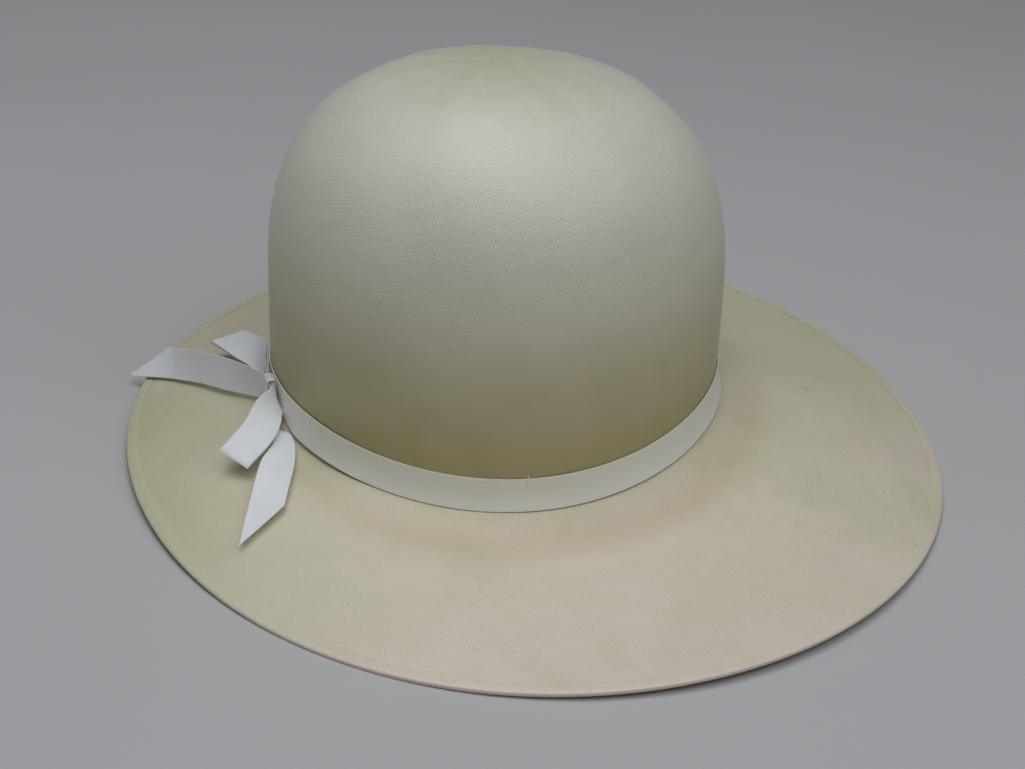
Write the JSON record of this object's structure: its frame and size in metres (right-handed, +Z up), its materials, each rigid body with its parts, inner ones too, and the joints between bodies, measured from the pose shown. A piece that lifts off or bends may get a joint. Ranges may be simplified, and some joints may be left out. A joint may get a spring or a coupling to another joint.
{
  "type": "wide-brimmed straw sun hat",
  "caption": "Woman's sun hat of fine woven straw with a deep round crown, a wide drooping brim, a white ribbon band and a flat ribbon bow at the back.",
  "frame": {"origin": "middle of the hat's outline, on the table that the brim stands on", "axes": "+Z up through the crown, -Y to the front of the hat, +Y to the back where the bow is, X across the head and along the hat's widest extent"},
  "size_m": [0.3802, 0.3632, 0.1788],
  "materials": {
    "straw": "fine diagonal weave of natural ivory straw, soft satin sheen",
    "turned_straw": "double layer of the same straw, pressed and slightly warmer",
    "white_ribbon": "white ribbed ribbon, matte with a faint sheen",
    "lining_ribbon": "cream cotton ribbon, matte",
    "thread": "cream cotton sewing thread",
    "edge_wire": "fine bright milliner's wire"
  },
  "bodies": {
    "root": {"straw_body": "straw", "brim_hem": "turned_straw", "brim_wire": "edge_wire", "brim_stitching": "thread", "hat_band": "white_ribbon", "band_tack_front": "thread", "band_tack_left": "thread", "band_tack_right": "thread", "sweatband": "lining_ribbon", "sweatband_seam_tab": "lining_ribbon", "sweatband_stitching": "thread", "bow_loop_rear": "white_ribbon", "bow_loop_front": "white_ribbon", "bow_tail_long": "white_ribbon", "bow_tail_front": "white_ribbon", "bow_wrap": "white_ribbon", "bow_stitch_upper": "thread", "bow_stitch_lower": "thread"}
  },
  "joints": []
}
